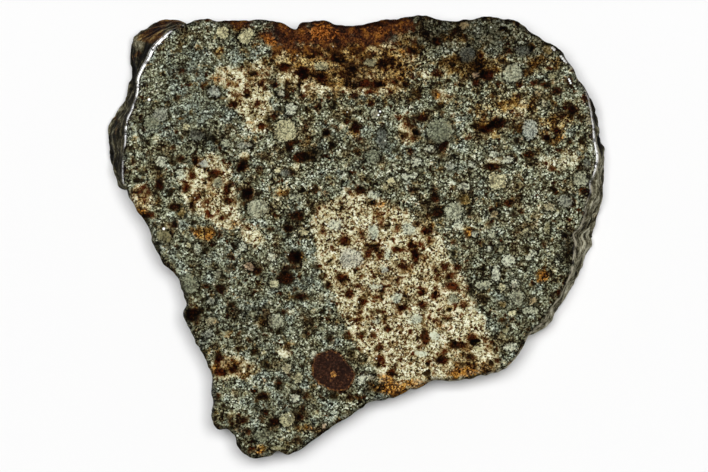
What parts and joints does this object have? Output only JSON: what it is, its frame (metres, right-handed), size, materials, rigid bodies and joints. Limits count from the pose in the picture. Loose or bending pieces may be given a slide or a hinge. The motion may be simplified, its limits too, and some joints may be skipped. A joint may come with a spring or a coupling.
{
  "type": "chondrite meteorite slice",
  "caption": "Thick sawn slice of a stony meteorite with a flat polished face, rough natural crust round its irregular edge and a flat sawn back that it lies on.",
  "frame": {"origin": "under the middle of the slice, on the plane of its sawn back", "axes": "+Z out of the polished face, +Y towards the long nearly straight edge, +X towards the flank with the chip"},
  "size_m": [0.0578, 0.0514, 0.009],
  "materials": {
    "chondrite": "polished face with low gloss; rough dull crust round the edge"
  },
  "bodies": {
    "root": {"meteorite_slice": "chondrite"}
  },
  "joints": []
}
